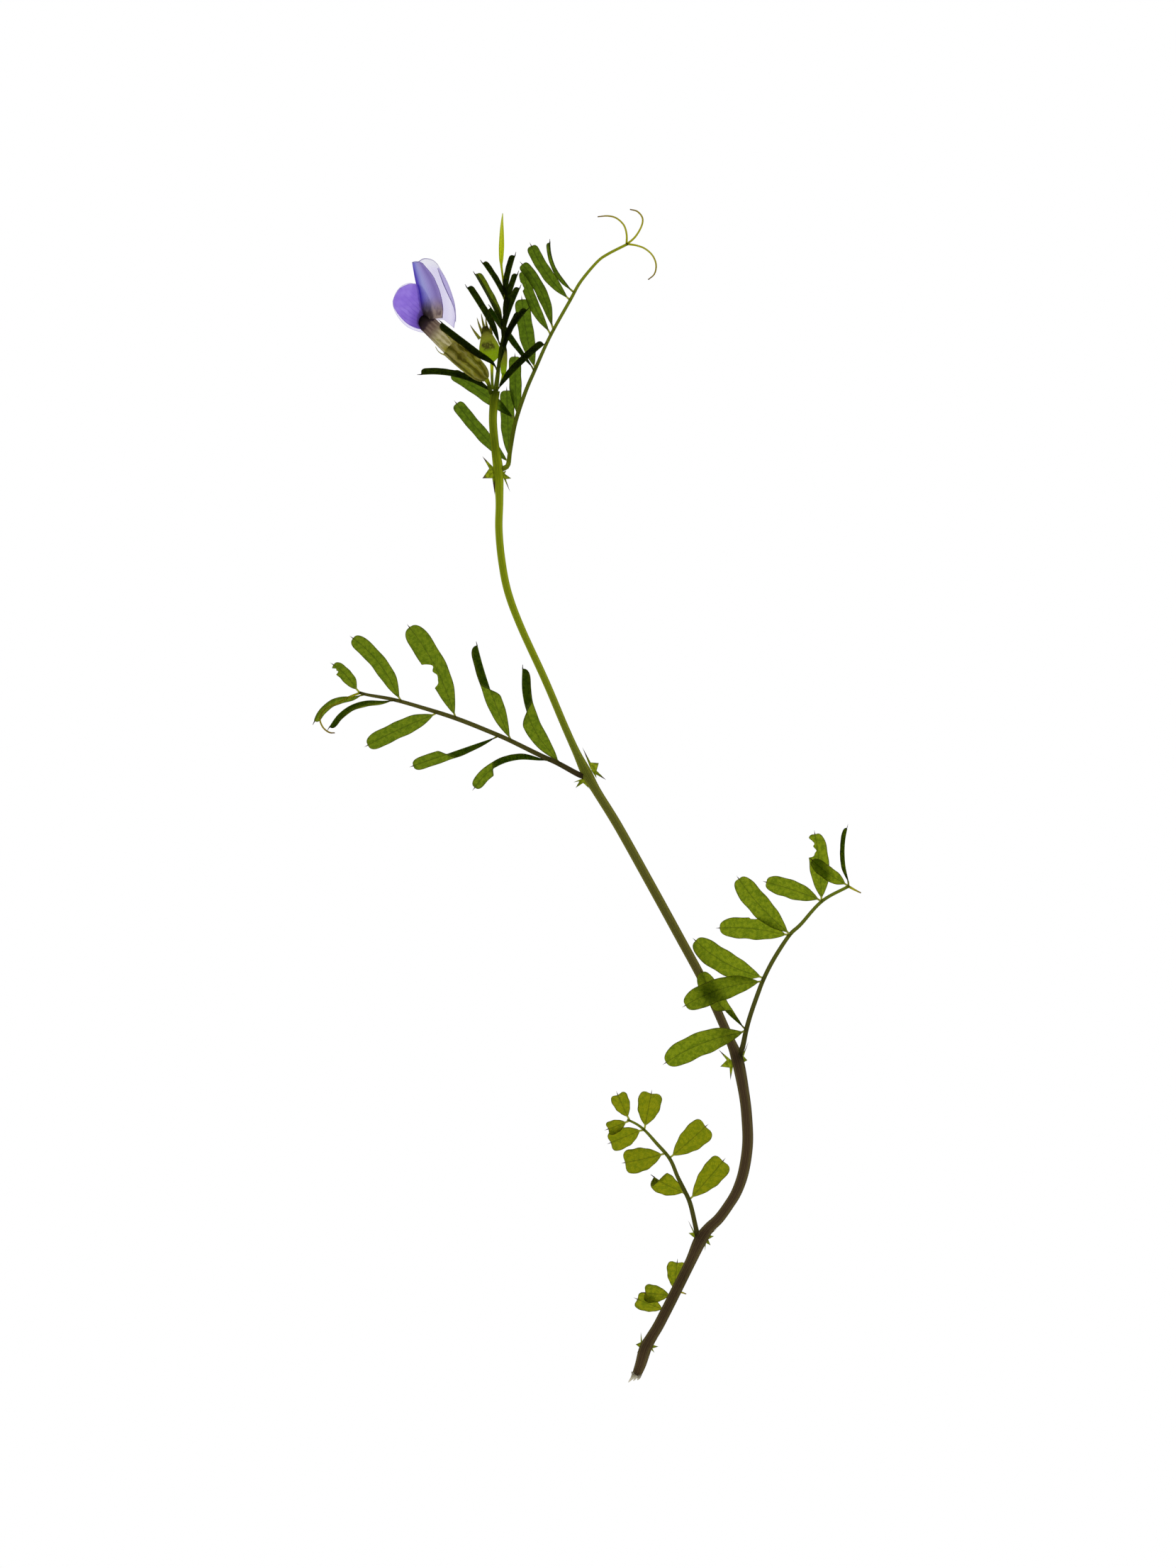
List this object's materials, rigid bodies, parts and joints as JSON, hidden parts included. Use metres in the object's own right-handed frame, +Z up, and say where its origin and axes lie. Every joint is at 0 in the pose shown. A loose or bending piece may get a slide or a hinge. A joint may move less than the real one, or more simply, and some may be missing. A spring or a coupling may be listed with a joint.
{
  "type": "common vetch flower",
  "caption": "Picked sprig of common vetch lying flat: arching stem, paired leaflets, curled tendrils, buds and a purple pea flower with a pale standard",
  "frame": {"origin": "the middle of the sprig's outline, on the surface it lies on", "axes": "+Z up, +Y from the cut end of the stem towards the shoot tip, +X to the right when seen from above with the shoot tip at the top"},
  "size_m": [0.0968, 0.2072, 0.0054],
  "materials": {
    "stem": "ribbed green stem, brown towards the cut end",
    "stalk": "thin green leaf stalk and tendrils",
    "leaf": "thin translucent matt leaf",
    "young_leaf": "folded young leaf, matt and finely hairy",
    "calyx": "thin ribbed green calyx with brown streaks",
    "bud": "hairy green bud",
    "standard": "thin translucent lilac petal",
    "wing": "thin translucent violet petal",
    "keel": "thin dark violet petal"
  },
  "bodies": {
    "root": {"stem": "stem", "leaf_1_stalk": "stalk", "leaf_1_leaflet_1_left": "leaf", "leaf_1_leaflet_2_left": "leaf", "leaf_1_leaflet_2_right": "leaf", "leaf_2_stalk": "stalk", "leaf_2_leaflet_1_right": "leaf", "leaf_2_leaflet_1_left": "leaf", "leaf_2_leaflet_2_right": "leaf", "leaf_2_leaflet_2_left": "leaf", "leaf_2_leaflet_3_right": "leaf", "leaf_2_leaflet_3_left": "leaf", "leaf_2_leaflet_4_right": "leaf", "leaf_2_leaflet_4_left": "leaf", "leaf_3_stalk": "stalk", "leaf_3_leaflet_1_left": "leaf", "leaf_3_leaflet_1_right": "leaf", "leaf_3_leaflet_2_left": "leaf", "leaf_3_leaflet_2_right": "leaf", "leaf_3_leaflet_3_left": "leaf", "leaf_3_leaflet_3_right": "leaf", "leaf_3_leaflet_4_left": "leaf", "leaf_3_leaflet_4_right": "leaf", "leaf_3_leaflet_5_left": "leaf", "leaf_3_leaflet_5_right": "leaf", "leaf_4_stalk": "stalk", "leaf_4_leaflet_1_right": "leaf", "leaf_4_leaflet_1_left": "leaf", "leaf_4_leaflet_2_right": "leaf", "leaf_4_leaflet_2_left": "leaf", "leaf_4_leaflet_3_right": "leaf", "leaf_4_leaflet_3_left": "leaf", "leaf_4_leaflet_4_right": "leaf", "leaf_4_leaflet_4_left": "leaf", "leaf_4_leaflet_5_right": "leaf", "leaf_4_leaflet_5_left": "leaf", "leaf_5_stalk": "stalk", "leaf_5_leaflet_1_left": "leaf", "leaf_5_leaflet_1_right": "leaf", "leaf_5_leaflet_2_left": "leaf", "leaf_5_leaflet_2_right": "leaf", "leaf_5_leaflet_3_right": "leaf", "leaf_5_leaflet_3_left": "leaf", "leaf_5_leaflet_4_left": "leaf", "leaf_5_leaflet_4_right": "leaf", "leaf_5_leaflet_5_left": "leaf", "leaf_5_leaflet_5_right": "leaf", "shoot_tip": "young_leaf", "shoot_leaflet_left": "young_leaf", "shoot_leaflet_right": "young_leaf", "shoot_leaflet_flower": "young_leaf", "calyx": "calyx", "standard_petal": "standard", "wing_upper": "wing", "wing_lower": "wing", "keel": "keel", "bud_1": "bud", "bud_2": "bud"}
  },
  "joints": []
}
